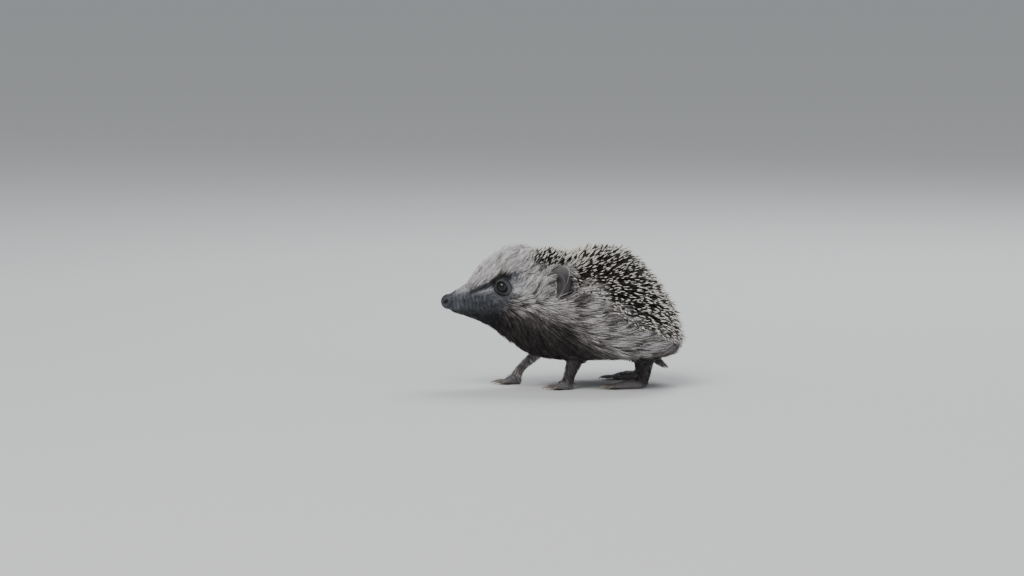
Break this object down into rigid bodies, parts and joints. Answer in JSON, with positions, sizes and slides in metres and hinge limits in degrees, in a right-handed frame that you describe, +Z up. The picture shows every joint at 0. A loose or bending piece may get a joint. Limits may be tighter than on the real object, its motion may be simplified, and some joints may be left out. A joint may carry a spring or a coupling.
{
  "type": "hedgehog",
  "caption": "Young hedgehog standing in mid step with its head raised, long coarse hair on the head and flanks and a short banded spiny coat over the back.",
  "frame": {"origin": "on the floor, under the middle of the animal's bounding box, level with its four soles", "axes": "+Z up; the rump points along +Y and the nose along -Y; the animal's left side is +X"},
  "size_m": [0.093, 0.1444, 0.085],
  "materials": {
    "spines": "short stiff spines with dark bands and pale tips",
    "fur": "long coarse grey-brown hair with paler strands",
    "muzzle": "short dark hair",
    "nose": "moist, finely grained skin",
    "eye": "wet and glossy",
    "ear": "thin skin with sparse short hair",
    "leg": "short dark brown hair",
    "paw": "bare padded skin and horn-coloured claws"
  },
  "bodies": {
    "root": {"head": "fur", "lower_jaw": "muzzle", "nose": "nose", "eye_left": "eye", "eye_right": "eye", "ear_left": "ear", "ear_right": "ear", "neck": "fur", "trunk": "spines", "tail": "fur", "foreleg_left": "leg", "foreleg_right": "leg", "hindleg_left": "leg", "hindleg_right": "leg", "forepaw_left": "paw", "forepaw_right": "paw", "hindpaw_left": "paw", "hindpaw_right": "paw"}
  },
  "joints": []
}
